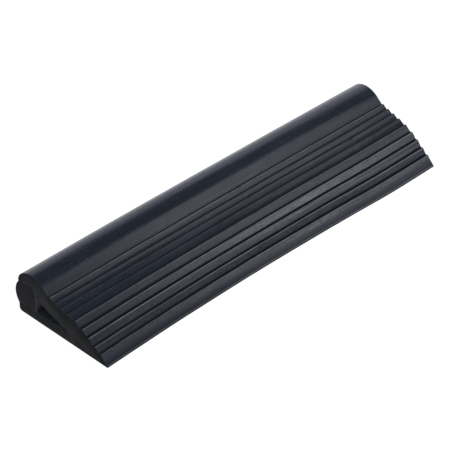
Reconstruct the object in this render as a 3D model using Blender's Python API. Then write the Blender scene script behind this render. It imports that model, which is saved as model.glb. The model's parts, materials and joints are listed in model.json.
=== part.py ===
"""Rubber wheelchair ramp for a kerb or door sill: a stepped hollow extrusion with a core strip in its rear.

Both pieces keep one cross-section along the whole length, which lies along X. A section point is
(depth, height): depth runs forward, towards -Y, from the line of the two rear notches, and height
runs up from the floor. The origin is at the middle of the footprint, on the floor.
"""

import math

import bmesh
import bpy

# Overall size, in metres.
LENGTH = 0.9144
FRONT_DEPTH = 0.2450
CORE_BULGE = 0.0088
CENTRE_DEPTH = (FRONT_DEPTH - CORE_BULGE) / 2

# Crown: a rear arc that leaves the upright rear face, then a top arc, then a straight flank.
CROWN_REAR_RADIUS = 0.0288
CROWN_TOP_RADIUS = 0.0445
CROWN_TOP_CENTRE = (0.0390, 0.0609)
CROWN_FLANK_SLOPE = math.radians(45.8)

# Crests: the first stands by itself at the foot of the crown, and the tips of the other treads lie on
# a crest line made of a straight run, an arc and a steeper straight run.
FIRST_CREST = (0.0896, 0.0818)
SECOND_CREST = (0.1050, 0.0766)
UPPER_SLOPE = math.radians(13.2)
UPPER_RUN = 0.0417
BEND_RADIUS = 0.1307
LOWER_SLOPE = math.radians(35.3)

# Treads: the distance from the second and each later crest to the next one down, and the riser that
# all of them share. The first tread and the lip, which is the face below the last crest, are scooped
# out between their ends. The upper treads are scooped less, and the lower ones are flat.
CREST_PITCHES = (0.0157, 0.0177, 0.0207, 0.0222, 0.0203, 0.0203, 0.0182)
RISER_SETBACK = 0.0043
GROOVE_DEPTH = 0.0048
FIRST_SCOOP = 0.0006
UPPER_SCOOP = 0.0003
UPPER_TREADS = 5
LIP_SCOOP = 0.0008
CREST_RADIUS = 0.0014
GROOVE_RADIUS = 0.0005

# Front edge and underside.
LIP_HEIGHT = 0.0036
LIP_RADIUS = 0.0008
FRONT_FOOT_RADIUS = 0.0008
REAR_FOOT_RADIUS = 0.0075

# Triangular hollow between the tread arm, the web and the core's front face.
HOLLOW_TOP = (0.0466, 0.0552)
HOLLOW_FRONT = (0.1380, 0.0222)
HOLLOW_FRONT_RADIUS = 0.0012

# Rear socket and the core strip that fills it.
NOTCH_TOP = 0.0714
NOTCH_BOTTOM = 0.0174
NOTCH_RADIUS = 0.0012
CORE_TOP_FRONT = (0.0409, 0.0763)
CORE_TOP_RISE = 0.0035
CORE_BOTTOM_FRONT = (0.0488, 0.0212)
CORE_CORNER_RADIUS = 0.0015
FIT_GAP = 0.0003

# Fineness of the curves.
FILLET_STEPS = 3
FOOT_STEPS = 6
SCOOP_STEPS = 4
CROWN_STEPS = 12
BULGE_STEPS = 16
CORE_TOP_STEPS = 8
SHARP_ANGLE = math.radians(25)


def arc(centre, radius, start, end, steps):
    """Points on a circle, at angles measured from the upward direction and turning forward."""
    points = []
    for step in range(steps + 1):
        angle = start + (end - start) * step / steps
        points.append((centre[0] + radius * math.sin(angle), centre[1] + radius * math.cos(angle)))
    return points


def bowed_line(start, end, rise, steps):
    """Points on the circular arc from start to end that stands rise to the left of the straight line."""
    run = (end[0] - start[0], end[1] - start[1])
    span = math.hypot(*run)
    radius = (span * span / 4 + rise * rise) / (2 * rise)
    half_angle = math.asin(span / 2 / radius)
    left = (-run[1] / span, run[0] / span)
    middle = ((start[0] + end[0]) / 2, (start[1] + end[1]) / 2)
    inward = radius * math.cos(half_angle)
    centre = (middle[0] - left[0] * inward, middle[1] - left[1] * inward)
    heading = math.atan2(left[0], left[1])
    return arc(centre, radius, heading - half_angle, heading + half_angle, steps)


def round_corner(before, corner, after, radius, steps):
    """Points of the fillet that replaces one corner of an outline."""
    to_before = (before[0] - corner[0], before[1] - corner[1])
    to_after = (after[0] - corner[0], after[1] - corner[1])
    length_before = math.hypot(*to_before)
    length_after = math.hypot(*to_after)
    unit_before = (to_before[0] / length_before, to_before[1] / length_before)
    unit_after = (to_after[0] / length_after, to_after[1] / length_after)
    cosine = unit_before[0] * unit_after[0] + unit_before[1] * unit_after[1]
    half_angle = math.acos(max(-1.0, min(1.0, cosine))) / 2
    reach = radius / math.tan(half_angle)
    to_centre = radius / math.sin(half_angle)
    bisector = (unit_before[0] + unit_after[0], unit_before[1] + unit_after[1])
    size = math.hypot(*bisector)
    centre = (corner[0] + bisector[0] / size * to_centre, corner[1] + bisector[1] / size * to_centre)
    first = (corner[0] + unit_before[0] * reach, corner[1] + unit_before[1] * reach)
    last = (corner[0] + unit_after[0] * reach, corner[1] + unit_after[1] * reach)
    start = math.atan2(first[0] - centre[0], first[1] - centre[1])
    end = math.atan2(last[0] - centre[0], last[1] - centre[1])
    turn = (end - start + math.pi) % (2 * math.pi) - math.pi
    return arc(centre, radius, start, start + turn, steps)


def outline_of(corners):
    """A closed outline from (point, radius) pairs; a radius of 0 keeps the point as it is."""
    points = []
    for index, (corner, radius) in enumerate(corners):
        if radius == 0:
            points.append(corner)
            continue
        before = corners[index - 1][0]
        after = corners[(index + 1) % len(corners)][0]
        steps = FOOT_STEPS if radius == REAR_FOOT_RADIUS else FILLET_STEPS
        points.extend(round_corner(before, corner, after, radius, steps))
    return points


def inset(points, distance):
    """A clockwise outline moved inwards by the same distance all round."""
    moved = []
    for index, point in enumerate(points):
        before = points[index - 1]
        after = points[(index + 1) % len(points)]
        length_in = math.dist(before, point)
        length_out = math.dist(point, after)
        normal_in = ((point[1] - before[1]) / length_in, (before[0] - point[0]) / length_in)
        normal_out = ((after[1] - point[1]) / length_out, (point[0] - after[0]) / length_out)
        normal = (normal_in[0] + normal_out[0], normal_in[1] + normal_out[1])
        scale = 1 + normal_in[0] * normal_out[0] + normal_in[1] * normal_out[1]
        moved.append((point[0] + distance * normal[0] / scale, point[1] + distance * normal[1] / scale))
    return moved


def crest_line(distance):
    """Point and downward slope on the crest line, at this distance from the second crest."""
    depth, height = SECOND_CREST
    straight = min(distance, UPPER_RUN)
    depth += straight * math.cos(UPPER_SLOPE)
    height -= straight * math.sin(UPPER_SLOPE)
    bend_length = BEND_RADIUS * (LOWER_SLOPE - UPPER_SLOPE)
    bent = min(max(distance - UPPER_RUN, 0), bend_length)
    slope = UPPER_SLOPE + bent / BEND_RADIUS
    depth += BEND_RADIUS * (math.sin(slope) - math.sin(UPPER_SLOPE))
    height -= BEND_RADIUS * (math.cos(UPPER_SLOPE) - math.cos(slope))
    beyond = max(distance - UPPER_RUN - bend_length, 0)
    depth += beyond * math.cos(LOWER_SLOPE)
    height -= beyond * math.sin(LOWER_SLOPE)
    return (depth, height), slope


def crests():
    """Point and slope of every crest, from the foot of the crown down to the lip."""
    found = [(FIRST_CREST, UPPER_SLOPE), crest_line(0.0)]
    distance = 0.0
    for pitch in CREST_PITCHES:
        distance += pitch
        found.append(crest_line(distance))
    return found


def groove_before(crest, slope):
    """Bottom of the groove at the foot of this crest's riser."""
    depth = crest[0] - RISER_SETBACK * math.cos(slope) - GROOVE_DEPTH * math.sin(slope)
    height = crest[1] + RISER_SETBACK * math.sin(slope) - GROOVE_DEPTH * math.cos(slope)
    return depth, height


def scooped(start, end, scoop):
    """Points between a crest and the next corner below it, on a face that is slightly hollow."""
    inner = bowed_line(end, start, scoop, SCOOP_STEPS)[1:-1]
    return [(point, 0) for point in reversed(inner)]


def tread_corners():
    """Grooves, crests and scooped faces in turn, from the foot of the crown down to the last crest."""
    found = crests()
    corners = []
    for index, (crest, slope) in enumerate(found):
        corners.append((groove_before(crest, slope), GROOVE_RADIUS))
        corners.append((crest, CREST_RADIUS))
        if index < UPPER_TREADS:
            scoop = FIRST_SCOOP if index == 0 else UPPER_SCOOP
            corners.extend(scooped(crest, groove_before(*found[index + 1]), scoop))
    return corners


def front_corners():
    """The lip's scooped face, the low blunt front edge, and the front of the underside."""
    last_crest = crests()[-1][0]
    lip = (FRONT_DEPTH, LIP_HEIGHT)
    corners = scooped(last_crest, lip, LIP_SCOOP)
    corners.append((lip, LIP_RADIUS))
    corners.append(((FRONT_DEPTH, 0.0), FRONT_FOOT_RADIUS))
    return corners


def crown_points():
    """The crown from the top of its upright rear face to the start of its straight flank."""
    offset = CROWN_TOP_RADIUS - CROWN_REAR_RADIUS
    rise = math.sqrt(offset**2 - (CROWN_TOP_CENTRE[0] - CROWN_REAR_RADIUS) ** 2)
    rear_centre = (CROWN_REAR_RADIUS, CROWN_TOP_CENTRE[1] + rise)
    joint = -math.atan2(CROWN_TOP_CENTRE[0] - CROWN_REAR_RADIUS, rise)
    rear = arc(rear_centre, CROWN_REAR_RADIUS, -math.pi / 2, joint, CROWN_STEPS)
    top = arc(CROWN_TOP_CENTRE, CROWN_TOP_RADIUS, joint, CROWN_FLANK_SLOPE, 2 * CROWN_STEPS)
    return rear + top[1:]


def core_top():
    """The low arch of the core's top, from the upper notch to its front corner."""
    return bowed_line((0.0, NOTCH_TOP), CORE_TOP_FRONT, CORE_TOP_RISE, CORE_TOP_STEPS)


def body_outline():
    """The ramp's section, clockwise from the rear foot: socket, crown, treads, front edge, underside."""
    corners = [((0.0, 0.0), REAR_FOOT_RADIUS), ((0.0, NOTCH_BOTTOM), NOTCH_RADIUS)]
    corners.append((CORE_BOTTOM_FRONT, 0))
    corners.append((HOLLOW_FRONT, HOLLOW_FRONT_RADIUS))
    corners.append((HOLLOW_TOP, 0))
    corners.extend((point, 0) for point in reversed(core_top()[1:]))
    corners.append(((0.0, NOTCH_TOP), NOTCH_RADIUS))
    corners.extend((point, 0) for point in crown_points())
    corners.extend(tread_corners())
    corners.extend(front_corners())
    return outline_of(corners)


def core_outline():
    """The core strip's section, clockwise from the lower notch, with the fitting gap taken off."""
    bulge = bowed_line((0.0, NOTCH_BOTTOM), (0.0, NOTCH_TOP), CORE_BULGE + FIT_GAP, BULGE_STEPS)
    corners = [(bulge[0], NOTCH_RADIUS)]
    corners.extend((point, 0) for point in bulge[1:-1])
    top = core_top()
    corners.append((top[0], NOTCH_RADIUS))
    corners.extend((point, 0) for point in top[1:-1])
    corners.append((CORE_TOP_FRONT, CORE_CORNER_RADIUS))
    corners.append((HOLLOW_TOP, 0))
    corners.append((CORE_BOTTOM_FRONT, CORE_CORNER_RADIUS))
    return inset(outline_of(corners), FIT_GAP)


def rubber(name, colour, roughness):
    """A plain rubber material."""
    material = bpy.data.materials.new(name)
    material.use_nodes = True
    shader = material.node_tree.nodes["Principled BSDF"]
    shader.inputs["Base Color"].default_value = (*colour, 1.0)
    shader.inputs["Roughness"].default_value = roughness
    shader.inputs["Metallic"].default_value = 0.0
    return material


def extrusion(name, outline, material):
    """A strip of this section from one end of the ramp to the other."""
    mesh = bmesh.new()
    near = [mesh.verts.new((-LENGTH / 2, CENTRE_DEPTH - depth, height)) for depth, height in outline]
    end = mesh.faces.new(near)
    grown = bmesh.ops.extrude_face_region(mesh, geom=[end])
    moved = [item for item in grown["geom"] if isinstance(item, bmesh.types.BMVert)]
    bmesh.ops.translate(mesh, verts=moved, vec=(LENGTH, 0.0, 0.0))
    bmesh.ops.recalc_face_normals(mesh, faces=mesh.faces)
    data = bpy.data.meshes.new(name)
    mesh.to_mesh(data)
    mesh.free()
    data.materials.append(material)
    data.shade_smooth()
    data.set_sharp_from_angle(angle=SHARP_ANGLE)
    piece = bpy.data.objects.new(name, data)
    bpy.context.scene.collection.objects.link(piece)
    return piece


def main():
    for old in list(bpy.data.objects):
        bpy.data.objects.remove(old)
    ramp_rubber = rubber("ramp_rubber", (0.028, 0.030, 0.036), 0.55)
    core_rubber = rubber("core_rubber", (0.022, 0.022, 0.024), 0.65)
    extrusion("ramp_body", body_outline(), ramp_rubber)
    extrusion("rear_core_strip", core_outline(), core_rubber)


main()
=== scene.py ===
"""Looks of the rubber wheelchair ramp: a worn, slightly bowed extrusion and the core strip in its rear."""

import json
import math

import bpy
import numpy as np
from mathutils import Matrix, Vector, noise


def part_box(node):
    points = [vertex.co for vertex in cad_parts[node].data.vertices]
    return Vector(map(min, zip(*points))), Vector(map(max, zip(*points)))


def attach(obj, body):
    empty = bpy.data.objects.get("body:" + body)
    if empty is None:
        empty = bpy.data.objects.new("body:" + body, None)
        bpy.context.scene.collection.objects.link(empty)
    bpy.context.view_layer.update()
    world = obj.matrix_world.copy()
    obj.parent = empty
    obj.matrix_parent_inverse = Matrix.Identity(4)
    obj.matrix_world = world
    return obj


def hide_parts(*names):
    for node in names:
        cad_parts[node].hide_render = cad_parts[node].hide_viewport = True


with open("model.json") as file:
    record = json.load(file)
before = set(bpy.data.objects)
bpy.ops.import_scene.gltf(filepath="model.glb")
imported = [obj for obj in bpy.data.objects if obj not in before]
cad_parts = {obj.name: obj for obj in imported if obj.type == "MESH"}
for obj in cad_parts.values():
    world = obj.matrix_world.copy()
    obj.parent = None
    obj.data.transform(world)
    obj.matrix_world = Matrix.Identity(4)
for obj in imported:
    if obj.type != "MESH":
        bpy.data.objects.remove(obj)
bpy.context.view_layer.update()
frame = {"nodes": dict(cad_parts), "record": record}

# Places from the frame, in metres: X along the ramp, -Y forward, Z up.
BODY_LOW, BODY_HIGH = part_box("ramp_body")
LENGTH = BODY_HIGH.x - BODY_LOW.x
FRONT_Y = BODY_LOW.y
REAR_Y = BODY_HIGH.y
HEIGHT = BODY_HIGH.z

# The free shape: the middle stands rearwards of the ends, the front edge more than the crown. The crown
# stands higher in the middle and lower at the right end, and the right front corner curls up and back.
BOW_REAR = 0.0011
BOW_FRONT = 0.0127
BOW_TURN = 0.0083
SETTLE_FROM = 0.072
SETTLE_FULL = 0.105
SETTLE_MIDDLE = -0.0022
SETTLE_RIGHT = 0.0054
CURL_FROM = 0.62
CURL_LIFT = 0.0040
CURL_BACK = 0.0050

# Unevenness of the extrusion: slow wander, fine die lines, and nicks in the crests.
WANDER = 0.0004
WANDER_ACROSS_LENGTH = 0.13
WANDER_UP_LENGTH = 0.16
WANDER_WIDTH = 0.05
DIE_LINE = 0.00004
DIE_LINE_WIDTH = 0.0032
DIE_LINE_LENGTH = 0.30
NICK = 0.0007
NICK_LENGTH = 0.012
NICK_GROUP_LENGTH = 0.09
NICK_WIDTH = 0.02

# Which parts of the outline count as an edge, the front face and the walls of the hollow.
EDGE_REACH = 0.0016
FRONT_FACE = 0.0040
HOLLOW_REACH = 0.012

# Mesh fineness.
STATION_STEP = 0.0060
SHOWN_STEP = 0.0012
HIDDEN_STEP = 0.0050
END_ROUND = 0.0002

# Rubber colours: the clean surface, its bloom in two tints, pale worn edges that also stand in as painted
# crest highlights, painted shade in the grooves, and settled dust.
SKIN_DARK = (0.013, 0.016, 0.021)
# The pale worn colour also serves as painted highlight on the crests.
SKIN_BLOOM = (0.026, 0.030, 0.035)
SKIN_WORN_HIGHLIGHT = (0.310, 0.280, 0.275)
CORE_DARK = (0.011, 0.012, 0.015)
CORE_BLOOM = (0.030, 0.030, 0.034)
CORE_WORN_HIGHLIGHT = (0.050, 0.050, 0.052)
BLOOM_TINT = (0.054, 0.042, 0.060)
# Painted shade for the risers and grooves.
PAINTED_GROOVE_SHADE = (0.006, 0.006, 0.008)
DUST = (0.130, 0.126, 0.132)
SKIN_ROUGHNESS = 0.20
CORE_ROUGHNESS = 0.42

# Dark and light colours of the sawn ends of the body and the core, and of the low front face, whose
# near-black colour is painted shade.
CUT_COLOURS = ((0.006, 0.006, 0.006), (0.026, 0.026, 0.027))
CORE_CUT_COLOURS = ((0.009, 0.008, 0.011), (0.022, 0.020, 0.025))
PAINTED_FRONT_SHADE_COLOURS = ((0.005, 0.005, 0.005), (0.010, 0.010, 0.011))

# Texture frequencies per metre: along the ramp, and across it both ways.
STREAKS = (2.0, 150.0, 150.0)
FINE_LINES = (5.0, 520.0, 520.0)
PATCHES = (9.0, 45.0, 45.0)
TINT = (24.0, 90.0, 90.0)
MOTTLE = (240.0, 400.0, 400.0)
PITS = (230.0, 430.0, 430.0)
CHATTER = (75.0, 260.0, 260.0)
SAW_MARKS = (40.0, 60.0, 900.0)
SKIN_GRAIN = 900.0
CUT_GRAIN = 700.0
CUT_CLOUD = 45.0

# Heights over which the wear and the painted crest highlights change. The crests are worn and painted
# light below the first band and above the second, and the lowest ones less near the left end. The scars
# lie between their two bands, the scuffs below theirs.
UNWORN_UNLIT_ABOVE = (0.060, 0.068)
WORN_HIGHLIT_ABOVE = (0.078, 0.081)
FADED_BELOW = (0.026, 0.036)
SCARRED_ABOVE = (0.018, 0.021)
SCARRED_BELOW = (0.029, 0.032)
SCUFFED_BELOW = (0.006, 0.018)

# Places along the ramp between which the same wear and painted crest highlights, scars and scuffs change.
FADED_ALONG = (-0.42, -0.02)
SCARRED_ALONG = (-0.42, 0.15)
SCUFFED_ALONG = (-0.35, 0.10)

# Studio: the floor, the sky, and soft boxes as (name, centre, size, radiance, colour).
FLOOR_HALF = 12.0
FLOOR_DROP = 0.0005
FLOOR_COLOUR = (0.15, 0.15, 0.15, 1.0)
FLOOR_GLOW = 1.0
SKY_COLOUR = (0.62, 0.78, 1.0, 1.0)
SKY_STRENGTH = 0.36
SOFT_BOXES = (
    ("front_box", (1.39, -1.66, 1.05), (0.54, 0.45), 4.9, (0.95, 0.94, 1.0)),
    ("upper_box", (1.34, -1.18, 1.61), (1.15, 0.50), 1.75, (0.94, 0.94, 1.0)),
    ("back_box", (1.4, 2.2, 1.05), (3.2, 2.1), 0.77, (0.87, 0.87, 1.0)),
)

# Camera, as the object is looked at.
VIEW_AZIMUTH = math.radians(43.50)
VIEW_ELEVATION = math.radians(38.24)
VIEW_DISTANCE = 5.279
VIEW_AIM = Vector((-0.0052, 0.0221, 0.0158))
LENS = 212.43
SENSOR = 36.0


# ---------------------------------------------------------------- section and mesh


def section_outline(node):
    """The CAD node's end outline as ordered (y, z) points, anticlockwise seen from -X."""
    mesh = frame["nodes"][node].data
    low = min(vertex.co.x for vertex in mesh.vertices)
    spots = {}
    edges = {}
    for polygon in mesh.polygons:
        corners = [mesh.vertices[index].co for index in polygon.vertices]
        if any(corner.x > low + 1e-5 for corner in corners):
            continue
        keys = []
        for corner in corners:
            key = (round(corner.y * 1e6), round(corner.z * 1e6))
            spots[key] = (corner.y, corner.z)
            keys.append(key)
        for start, end in zip(keys, keys[1:] + keys[:1]):
            if (end, start) in edges:
                del edges[(end, start)]
            else:
                edges[(start, end)] = True
    following = dict(edges.keys())
    first = next(iter(following))
    chain = [first]
    while following[chain[-1]] != first:
        chain.append(following[chain[-1]])
    return np.array([spots[key] for key in chain])


def turning(outline):
    """1 if the outline runs anticlockwise, -1 if clockwise."""
    y, z = outline[:, 0], outline[:, 1]
    return 1.0 if np.sum(y * np.roll(z, -1) - np.roll(y, -1) * z) > 0 else -1.0


def unit_normals(outline):
    """Unit normals of the outline's edges, out of the material."""
    along = np.roll(outline, -1, axis=0) - outline
    normals = np.stack([along[:, 1], -along[:, 0]], axis=1)
    return turning(outline) * normals / np.linalg.norm(normals, axis=1)[:, None]


def resampled(outline):
    """The same outline with its edges cut up, finely where they face upwards."""
    points = []
    for start, end, normal in zip(outline, np.roll(outline, -1, axis=0), unit_normals(outline)):
        step = SHOWN_STEP if normal[1] > 0.05 else HIDDEN_STEP
        count = max(1, math.ceil(np.linalg.norm(end - start) / step))
        for index in range(count):
            points.append(start + (end - start) * index / count)
    return np.array(points)


def point_normals(outline):
    """Unit normals at the outline's points."""
    edges = unit_normals(outline)
    normals = edges + np.roll(edges, 1, axis=0)
    return normals / np.linalg.norm(normals, axis=1)[:, None]


def edge_turn(outline):
    """How sharply the outline turns near each point: 1 on a convex edge, -1 in a groove."""
    lengths = np.linalg.norm(np.roll(outline, -1, axis=0) - outline, axis=1)
    places = np.concatenate([[0.0], np.cumsum(lengths)])
    edges = unit_normals(outline)
    headings = np.unwrap(np.arctan2(edges[:, 1], edges[:, 0]))
    middles = (places[:-1] + places[1:]) / 2
    here = places[:-1]
    after = np.interp(here + EDGE_REACH, middles, headings)
    before = np.interp(here - EDGE_REACH, middles, headings)
    return np.clip(turning(outline) * (after - before) / 0.9, -1.0, 1.0)


def inside_hollow(outline):
    """1 at the points of the outline that lie on the walls of the hollow, 0 at the others."""
    boxes = np.array([opening["box_m"] for opening in frame["record"]["physics"]["openings"]])
    low = boxes[:, 0, 1:].min(axis=0) - HOLLOW_REACH
    high = boxes[:, 1, 1:].max(axis=0) + HOLLOW_REACH
    inside = np.all((outline > low) & (outline < high), axis=1)
    return inside.astype(float)


def stations():
    """Places along the length, with extra ones where the cut ends round over."""
    half = LENGTH / 2
    inner = half - 4 * END_ROUND
    count = math.ceil(2 * inner / STATION_STEP)
    middle = [-inner + 2 * inner * index / count for index in range(count + 1)]
    left = [-half, -half + 0.3 * END_ROUND, -half + END_ROUND]
    return np.array(left + middle + [-place for place in reversed(left)])


def end_inset(x):
    """How far the outline is drawn in near a cut end."""
    into = min(LENGTH / 2 - abs(x), END_ROUND) / END_ROUND
    return END_ROUND * (1 - math.sqrt(max(0.0, 1 - (1 - into) ** 2)))


def smooth(value, low, high):
    """0 below low, 1 above high, with a soft change between."""
    part = min(1.0, max(0.0, (value - low) / (high - low)))
    return part * part * (3 - 2 * part)


def settled(x, y, z):
    """A point of the straight ramp carried onto the bowed and settled one."""
    along = 2 * x / LENGTH
    middle = 1 - along * along
    forward = (REAR_Y - y) / (REAR_Y - FRONT_Y)
    bow = (BOW_REAR + (BOW_FRONT - BOW_REAR) * forward * forward) * middle
    slope = -4 * BOW_TURN * along / LENGTH
    size = math.hypot(1.0, slope)
    drop = SETTLE_MIDDLE * middle + SETTLE_RIGHT * (1 + along) / 2
    drop *= smooth(z, SETTLE_FROM, SETTLE_FULL)
    curl = smooth(along, CURL_FROM, 2 - CURL_FROM) * 2 * forward * forward
    bow += CURL_BACK * curl
    lift = CURL_LIFT * curl - drop
    return Vector((x + (REAR_Y - y) * slope / size, REAR_Y + bow - (REAR_Y - y) / size, z + lift))


def drift(x, y, z, seed):
    """Slow sideways and vertical wander of the extrusion, none where it rests on the floor."""
    lift = min(1.0, z / 0.006)
    y_part = y / WANDER_WIDTH
    z_part = z / WANDER_WIDTH + seed
    across = WANDER * noise.noise(Vector((x / WANDER_ACROSS_LENGTH, y_part, z_part)))
    upward = WANDER * noise.noise(Vector((x / WANDER_UP_LENGTH, y_part + 40, z_part)))
    return across, upward * lift


def relief(x, place, turn, seed):
    """Height of the fine surface: die lines along the ramp, and nicks out of its convex edges."""
    lines = noise.noise(Vector((x / DIE_LINE_LENGTH, place / DIE_LINE_WIDTH, seed)))
    lines += 0.5 * noise.noise(Vector((x / DIE_LINE_LENGTH * 3, place / DIE_LINE_WIDTH * 2.3, seed + 9)))
    chips = noise.noise(Vector((x / NICK_LENGTH, place / NICK_WIDTH, seed + 5)))
    chips += 0.5 * noise.noise(Vector((x / NICK_GROUP_LENGTH, place / NICK_WIDTH, seed + 7)))
    return DIE_LINE * lines - NICK * max(0.0, turn) * smooth(chips, 0.38, 0.7)


def risers(outline, normals):
    """1 at the points of the short rear-facing slopes between the treads, 0 at the others."""
    crown = outline[np.argmax(outline[:, 1]), 0]
    rearward = np.clip((normals[:, 0] - 0.05) / 0.15, 0.0, 1.0)
    return rearward * (normals[:, 1] > 0.3) * (outline[:, 0] < crown)


def front_face(outline):
    """Which edges of the outline make the low upright face along the front."""
    middles = (outline + np.roll(outline, -1, axis=0)) / 2
    return (unit_normals(outline)[:, 0] < -0.6) & (middles[:, 1] < FRONT_FACE)


def strip_mesh(name, outline, seed):
    """A strip of this section, uneven and bowed, with its straight place and edges kept as attributes."""
    normals = point_normals(outline)
    turns = edge_turn(outline)
    steps = np.linalg.norm(outline - np.roll(outline, 1, axis=0), axis=1)
    places = np.cumsum(steps)
    rows = stations()
    count = len(outline)
    vertices = []
    straight = []
    for x in rows:
        inset = end_inset(x)
        for (y, z), normal, turn, place in zip(outline, normals, turns, places):
            push = relief(x, place, turn, seed) * min(1.0, z / 0.003) - inset
            across, upward = drift(x, y, z, seed)
            spot = settled(x, y + across + normal[0] * push, max(0.0, z + upward + normal[1] * push))
            vertices.append(spot)
            straight.append((x, y, z))
    faces = []
    for row in range(len(rows) - 1):
        for column in range(count):
            beside = (column + 1) % count
            faces.append((row * count + column, (row + 1) * count + column,
                          (row + 1) * count + beside, row * count + beside))
    sides = len(faces)
    last = (len(rows) - 1) * count
    faces.append(tuple(range(count)))
    faces.append(tuple(last + column for column in reversed(range(count))))
    mesh = bpy.data.meshes.new(name)
    mesh.from_pydata(vertices, [], faces)
    for polygon in mesh.polygons:
        polygon.use_smooth = polygon.index < sides
    mesh.polygons[sides].material_index = 1
    mesh.polygons[sides + 1].material_index = 1
    # Painted shade: the low front face takes the third material, near-black with little shine.
    for column in np.flatnonzero(front_face(outline)):
        for row in range(len(rows) - 1):
            mesh.polygons[row * count + int(column)].material_index = 2
    kept = mesh.attributes.new("straight", "FLOAT_VECTOR", "POINT")
    kept.data.foreach_set("vector", np.array(straight, dtype=np.float32).ravel())
    hollow = inside_hollow(outline)
    riser = risers(outline, normals)
    for label, values in (("edge", turns), ("dust", hollow), ("riser", riser)):
        kept = mesh.attributes.new(label, "FLOAT", "POINT")
        kept.data.foreach_set("value", np.tile(values, len(rows)).astype(np.float32))
    return mesh


def facing_out(mesh):
    """Turns the mesh round if its faces point inwards."""
    volume = 0.0
    mesh.calc_loop_triangles()
    for triangle in mesh.loop_triangles:
        a, b, c = (mesh.vertices[index].co for index in triangle.vertices)
        volume += a.dot(b.cross(c))
    if volume < 0:
        mesh.flip_normals()


def strip(name, node, seed, materials):
    """The visible piece that stands for a CAD node."""
    outline = resampled(section_outline(node))
    mesh = strip_mesh(name, outline, seed)
    facing_out(mesh)
    for material in materials:
        mesh.materials.append(material)
    mesh.set_sharp_from_angle(angle=math.radians(38))
    piece = bpy.data.objects.new(name, mesh)
    bpy.context.scene.collection.objects.link(piece)
    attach(piece, "root")
    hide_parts(node)
    return piece


# ---------------------------------------------------------------- materials


class Nodes:
    """Short calls for building a shader's node tree."""

    def __init__(self, name):
        self.material = bpy.data.materials.new(name)
        self.material.use_nodes = True
        self.tree = self.material.node_tree
        self.shader = self.tree.nodes["Principled BSDF"]

    def put(self, socket, value):
        if isinstance(value, bpy.types.NodeSocket):
            self.tree.links.new(value, socket)
        else:
            socket.default_value = value

    def math(self, operation, first, second=0.0, third=0.0):
        node = self.tree.nodes.new("ShaderNodeMath")
        node.operation = operation
        for socket, value in zip(node.inputs, (first, second, third)):
            self.put(socket, value)
        return node.outputs[0]

    def noise(self, vector, scale, detail=2.0, roughness=0.5):
        node = self.tree.nodes.new("ShaderNodeTexNoise")
        self.put(node.inputs["Vector"], vector)
        node.inputs["Scale"].default_value = scale
        node.inputs["Detail"].default_value = detail
        node.inputs["Roughness"].default_value = roughness
        return node.outputs["Fac"]

    def stretched(self, vector, scale):
        node = self.tree.nodes.new("ShaderNodeVectorMath")
        node.operation = "MULTIPLY"
        self.put(node.inputs[0], vector)
        node.inputs[1].default_value = scale
        return node.outputs[0]

    def span(self, value, low, high, to_low=0.0, to_high=1.0):
        node = self.tree.nodes.new("ShaderNodeMapRange")
        self.put(node.inputs["Value"], value)
        numbers = {"From Min": low, "From Max": high, "To Min": to_low, "To Max": to_high}
        for label, number in numbers.items():
            node.inputs[label].default_value = number
        return node.outputs["Result"]

    def mix(self, factor, first, second):
        node = self.tree.nodes.new("ShaderNodeMix")
        node.data_type = "RGBA"
        self.put(node.inputs["Factor"], factor)
        self.put(node.inputs["A"], first)
        self.put(node.inputs["B"], second)
        return node.outputs["Result"]

    def bump(self, height, distance, strength=1.0, normal=None):
        node = self.tree.nodes.new("ShaderNodeBump")
        self.put(node.inputs["Height"], height)
        node.inputs["Distance"].default_value = distance
        node.inputs["Strength"].default_value = strength
        if normal is not None:
            self.put(node.inputs["Normal"], normal)
        return node.outputs["Normal"]

    def axis(self, vector, letter):
        node = self.tree.nodes.new("ShaderNodeSeparateXYZ")
        self.put(node.inputs[0], vector)
        return node.outputs[letter]

    def attribute(self, name, output):
        node = self.tree.nodes.new("ShaderNodeAttribute")
        node.attribute_name = name
        return node.outputs[output]


def crest_wear_and_highlight(n, edge, patches, height, along, riser):
    """How much the slope is trodden, and how pale its convex edges are: partly wear, partly a painted
    highlight along the crests.
    """
    walked_and_lit = n.math("MAXIMUM", n.span(height, *UNWORN_UNLIT_ABOVE, 1.0, 0.1), n.span(height, *WORN_HIGHLIT_ABOVE))
    faded = n.math("MAXIMUM", n.span(height, *FADED_BELOW), n.span(along, *FADED_ALONG, 0.3, 1.0))
    walked_and_lit = n.math("MULTIPLY", walked_and_lit, faded)
    rubbed_highlight = n.math("MULTIPLY", n.span(edge, 0.2, 0.7), n.span(patches, 0.32, 0.58, 0.25, 1.0))
    rubbed_highlight = n.math("MULTIPLY", rubbed_highlight, n.math("MULTIPLY", walked_and_lit, n.math("SUBTRACT", 1.0, riser)))
    return walked_and_lit, rubbed_highlight


def tread_scars(n, chatter, height, along):
    """Irregular scars on the second-lowest tread, most of them towards the left end."""
    marked = n.math("MULTIPLY", n.span(height, *SCARRED_ABOVE), n.span(height, *SCARRED_BELOW, 1.0, 0.0))
    marked = n.math("MULTIPLY", marked, n.span(along, *SCARRED_ALONG, 1.0, 0.3))
    return n.math("MULTIPLY", marked, n.span(chatter, 0.47, 0.56))


def lip_scuffs(n, edge, height, along):
    """Scuffing of the lowest tread, strongest towards the left end."""
    off_edge = n.span(edge, 0.1, 0.4, 1.0, 0.0)
    scuffed = n.math("MULTIPLY", n.span(height, *SCUFFED_BELOW, 1.0, 0.0), off_edge)
    return n.math("MULTIPLY", scuffed, n.span(along, *SCUFFED_ALONG, 1.0, 0.55))


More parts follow.
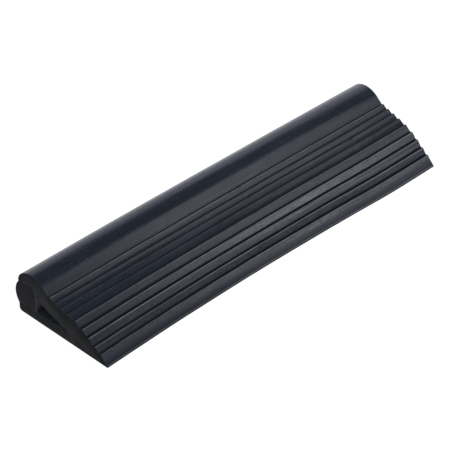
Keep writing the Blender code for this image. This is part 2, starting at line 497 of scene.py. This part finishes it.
def skin_rubber(name, dark, bloom, worn, roughness):
    """Extruded rubber: lengthwise die lines, streaky bloom, pits, pale worn edges that also serve as
    painted crest highlights, and painted shade in the grooves.
    """
    n = Nodes(name)
    place = n.attribute("straight", "Vector")
    edge = n.attribute("edge", "Fac")
    dust = n.attribute("dust", "Fac")
    riser = n.attribute("riser", "Fac")
    along = n.axis(place, "X")
    height = n.axis(place, "Z")
    broad = n.noise(n.stretched(place, STREAKS), 1.0, 3.0, 0.55)
    fine = n.noise(n.stretched(place, FINE_LINES), 1.0, 3.0, 0.6)
    patches = n.noise(n.stretched(place, PATCHES), 1.0, 4.0, 0.6)
    tint = n.noise(n.stretched(place, TINT), 1.0, 3.0, 0.6)
    mottle = n.noise(n.stretched(place, MOTTLE), 1.0, 3.0, 0.6)
    grain = n.noise(place, SKIN_GRAIN, 2.0, 0.6)
    pits = n.noise(n.stretched(place, PITS), 1.0, 2.0, 0.55)
    chatter = n.noise(n.stretched(place, CHATTER), 1.0, 3.0, 0.6)

    walked_and_lit, rubbed_highlight = crest_wear_and_highlight(n, edge, patches, height, along, riser)
    scars = tread_scars(n, chatter, height, along)
    holes = n.math("MAXIMUM", n.span(pits, 0.60, 0.72), scars)
    # Painted shade: the risers and grooves are darkened in colour and lose shine, more so at the heights
    # whose crests are worn and painted light.
    painted_groove_shade = n.math("MAXIMUM", riser, n.span(edge, -0.9, -0.3, 1.0, 0.0))
    painted_groove_shade = n.math("MULTIPLY", painted_groove_shade, n.math("MULTIPLY_ADD", walked_and_lit, 0.5, 0.25))
    scuffed = lip_scuffs(n, edge, height, along)

    streaks = n.math("MULTIPLY_ADD", fine, 0.4, n.math("MULTIPLY", broad, 0.6))
    hazy = n.math("MULTIPLY", n.span(streaks, 0.42, 0.62), n.span(patches, 0.38, 0.62, 0.15, 1.0))
    hazy = n.math("MULTIPLY_ADD", hazy, 0.65, n.span(mottle, 0.36, 0.64, 0.0, 0.35))
    haze = n.mix(n.span(tint, 0.40, 0.60), (*bloom, 1.0), (*BLOOM_TINT, 1.0))
    colour = n.mix(hazy, (*dark, 1.0), haze)
    # Painted highlight: the pale worn colour on the crests also stands for the light they catch.
    colour = n.mix(rubbed_highlight, colour, (*worn, 1.0))
    colour = n.mix(n.math("MULTIPLY", dust, n.span(patches, 0.3, 0.7, 0.5, 1.0)), colour, (*DUST, 1.0))
    colour = n.mix(n.math("MULTIPLY", holes, 0.7), colour, (*dark, 1.0))
    n.put(n.shader.inputs["Base Color"], n.mix(painted_groove_shade, colour, (*PAINTED_GROOVE_SHADE, 1.0)))

    uneven = n.math("MULTIPLY_ADD", patches, 0.5, n.math("MULTIPLY", streaks, 0.5))
    gloss = n.span(uneven, 0.36, 0.64, roughness - 0.05, roughness + 0.09)
    gloss = n.math("ADD", gloss, n.span(mottle, 0.36, 0.64, -0.03, 0.05))
    matte = n.math("MAXIMUM", n.math("MAXIMUM", n.math("MULTIPLY", scars, 0.6), painted_groove_shade), rubbed_highlight)
    matte = n.math("MAXIMUM", matte, n.math("MULTIPLY", scuffed, 0.7))
    n.put(n.shader.inputs["Roughness"], n.math("MULTIPLY_ADD", matte, 0.5, gloss))
    # The painted groove shade also takes shine out of the risers and grooves.
    shine = n.math("MULTIPLY_ADD", painted_groove_shade, -0.38, n.math("MULTIPLY_ADD", scuffed, -0.20, 0.5))
    n.put(n.shader.inputs["Specular IOR Level"], shine)

    waves = n.bump(broad, 0.0007, 0.6)
    lines = n.bump(fine, 0.00020, 0.6, waves)
    sunk = n.bump(n.math("SUBTRACT", 1.0, holes), 0.0002, 0.4, lines)
    n.put(n.shader.inputs["Normal"], n.bump(grain, 0.00007, 0.5, sunk))
    return n.material


def cut_rubber(name, dark, light):
    """A sawn rubber end: matte, with faint saw marks and open grain, and painted shade that darkens it
    towards the floor.
    """
    n = Nodes(name)
    place = n.attribute("straight", "Vector")
    marks = n.noise(n.stretched(place, SAW_MARKS), 1.0, 3.0, 0.6)
    grain = n.noise(place, CUT_GRAIN, 3.0, 0.65)
    cloud = n.noise(place, CUT_CLOUD, 3.0, 0.5)
    tone_and_painted_shade = n.math("MULTIPLY_ADD", grain, 0.5, n.math("MULTIPLY", cloud, 0.5))
    # Painted shade: darker towards the floor and lighter towards the top.
    tone_and_painted_shade = n.math("ADD", tone_and_painted_shade, n.span(n.axis(place, "Z"), 0.0, 0.105, -0.10, 0.06))
    n.put(n.shader.inputs["Base Color"], n.mix(n.span(tone_and_painted_shade, 0.34, 0.70), (*dark, 1.0), (*light, 1.0)))
    n.put(n.shader.inputs["Roughness"], n.span(grain, 0.3, 0.7, 0.72, 0.9))
    n.shader.inputs["Specular IOR Level"].default_value = 0.12
    rough = n.bump(grain, 0.0004, 0.5)
    n.put(n.shader.inputs["Normal"], n.bump(marks, 0.0004, 0.5, rough))
    return n.material


def floor_material():
    """Plain white studio floor, lit from within so that it stays pale."""
    n = Nodes("studio_floor")
    n.shader.inputs["Base Color"].default_value = FLOOR_COLOUR
    n.shader.inputs["Roughness"].default_value = 0.9
    n.shader.inputs["Specular IOR Level"].default_value = 0.1
    n.shader.inputs["Emission Color"].default_value = (1.0, 1.0, 1.0, 1.0)
    n.shader.inputs["Emission Strength"].default_value = FLOOR_GLOW
    return n.material


# ---------------------------------------------------------------- studio


def add_camera():
    """A long lens from the front left, above."""
    direction = Vector((
        math.sin(VIEW_AZIMUTH) * math.cos(VIEW_ELEVATION),
        math.cos(VIEW_AZIMUTH) * math.cos(VIEW_ELEVATION),
        -math.sin(VIEW_ELEVATION),
    ))
    data = bpy.data.cameras.new("camera")
    data.lens = LENS
    data.sensor_width = SENSOR
    data.clip_end = 100.0
    camera = bpy.data.objects.new("camera", data)
    bpy.context.scene.collection.objects.link(camera)
    camera.location = VIEW_AIM - direction * VIEW_DISTANCE
    camera.rotation_euler = (math.pi / 2 - VIEW_ELEVATION, 0.0, -VIEW_AZIMUTH)
    bpy.context.scene.camera = camera


def add_box_light(name, centre, size, radiance, colour):
    """A soft box of this brightness, facing the middle of the ramp."""
    data = bpy.data.lights.new(name, "AREA")
    data.shape = "RECTANGLE"
    data.size, data.size_y = size
    data.energy = radiance * math.pi * size[0] * size[1]
    data.color = colour
    lamp = bpy.data.objects.new(name, data)
    bpy.context.scene.collection.objects.link(lamp)
    lamp.location = centre
    heading = Vector((0.0, 0.0, HEIGHT / 2)) - lamp.location
    lamp.rotation_euler = heading.to_track_quat("-Z", "Y").to_euler()


def add_studio():
    """Floor, world and soft boxes."""
    mesh = bpy.data.meshes.new("floor")
    corners = [(FLOOR_HALF * x, FLOOR_HALF * y, 0.0) for x, y in ((-1, -1), (1, -1), (1, 1), (-1, 1))]
    mesh.from_pydata(corners, [], [(0, 1, 2, 3)])
    mesh.materials.append(floor_material())
    floor = bpy.data.objects.new("floor", mesh)
    floor.location.z = -FLOOR_DROP
    bpy.context.scene.collection.objects.link(floor)
    world = bpy.data.worlds.new("studio")
    world.use_nodes = True
    background = world.node_tree.nodes["Background"]
    background.inputs["Color"].default_value = SKY_COLOUR
    background.inputs["Strength"].default_value = SKY_STRENGTH
    bpy.context.scene.world = world
    for name, centre, size, radiance, colour in SOFT_BOXES:
        add_box_light(name, centre, size, radiance, colour)
    bpy.context.scene.view_settings.view_transform = "Standard"


# ---------------------------------------------------------------- the model

add_camera()
add_studio()
skin = skin_rubber("ramp_rubber", SKIN_DARK, SKIN_BLOOM, SKIN_WORN_HIGHLIGHT, SKIN_ROUGHNESS)
core_skin = skin_rubber("core_rubber", CORE_DARK, CORE_BLOOM, CORE_WORN_HIGHLIGHT, CORE_ROUGHNESS)
cut = cut_rubber("cut_rubber", *CUT_COLOURS)
core_cut = cut_rubber("core_cut_rubber", *CORE_CUT_COLOURS)
painted_front_shade = cut_rubber("painted_front_shade_rubber", *PAINTED_FRONT_SHADE_COLOURS)
ramp = strip("ramp_extrusion", "ramp_body", 0.0, (skin, cut, painted_front_shade))
core = strip("core_strip", "rear_core_strip", 17.0, (core_skin, core_cut))
